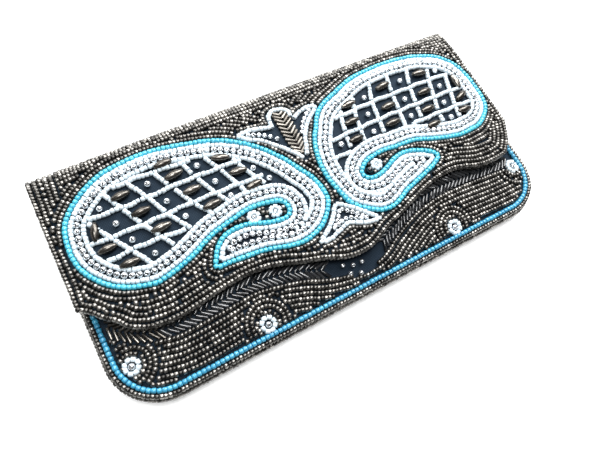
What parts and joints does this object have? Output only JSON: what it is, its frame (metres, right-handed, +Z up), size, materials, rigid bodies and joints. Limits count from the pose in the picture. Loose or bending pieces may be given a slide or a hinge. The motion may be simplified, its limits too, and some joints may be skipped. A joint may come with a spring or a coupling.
{
  "type": "envelope clutch bag",
  "caption": "Hand-beaded envelope clutch with a fold-over flap, magnetic snap and crowned, board-stiffened panels, lying closed on its back.",
  "frame": {"origin": "centre of the closed bag's footprint, on the table that its back rests on", "axes": "+X along the width to the viewer's right, +Y from the bottom edge towards the fold, +Z up out of the flap's face"},
  "size_m": [0.23, 0.112, 0.0221],
  "materials": {
    "gunmetal_beads": "metallic gunmetal-brown glass seed beads",
    "turquoise_beads": "opaque turquoise glass seed beads",
    "white_beads": "opaque white glass seed beads",
    "silver_beads": "silver-plated round beads",
    "pewter_beads": "antique pewter fluted and bugle beads",
    "black_bugles": "black glass bugle beads",
    "ground_cloth": "charcoal satin cloth",
    "board": "non-woven stiffening board",
    "lining": "black satin lining",
    "snap_steel": "nickel-plated steel"
  },
  "bodies": {
    "pouch": {"back_beads": "gunmetal_beads", "back_cloth": "ground_cloth", "back_board": "board", "back_lining": "lining", "front_beads": "gunmetal_beads", "front_cloth": "ground_cloth", "front_board": "board", "front_lining": "lining", "front_edge_beads": "gunmetal_beads", "side_beads": "gunmetal_beads", "side_cloth": "ground_cloth", "front_border": "turquoise_beads", "front_flowers": "white_beads", "front_herringbone": "black_bugles", "front_almond_beads": "silver_beads", "fold_beads": "gunmetal_beads", "fold_cloth": "ground_cloth", "fold_lining": "lining", "snap_socket": "snap_steel", "snap_socket_washer": "snap_steel"},
    "flap": {"flap_beads": "gunmetal_beads", "flap_cloth": "ground_cloth", "flap_board": "board", "flap_lining": "lining", "left_paisley_outline": "turquoise_beads", "left_paisley_outer_row": "white_beads", "left_paisley_silver": "silver_beads", "left_paisley_inner_row": "white_beads", "left_trellis": "white_beads", "left_oat_beads": "pewter_beads", "left_round_beads": "silver_beads", "right_paisley_outline": "turquoise_beads", "right_paisley_outer_row": "white_beads", "right_paisley_silver": "silver_beads", "right_paisley_inner_row": "white_beads", "right_trellis": "white_beads", "right_oat_beads": "pewter_beads", "right_round_beads": "silver_beads", "left_curl_flowers": "white_beads", "right_curl_beads": "white_beads", "leaf_outline": "white_beads", "leaf_bugles": "pewter_beads", "petal_beads": "silver_beads", "tail_outline": "white_beads", "tail_beads": "silver_beads", "snap_stud": "snap_steel", "snap_stud_washer": "snap_steel"}
  },
  "joints": [
    {"name": "flap_fold", "type": "hinge", "parent": "pouch", "child": "flap", "pos_m": [0, 0.056, 0.01107], "axis": [-1, 0, 0], "range_deg": [0, 180]}
  ]
}
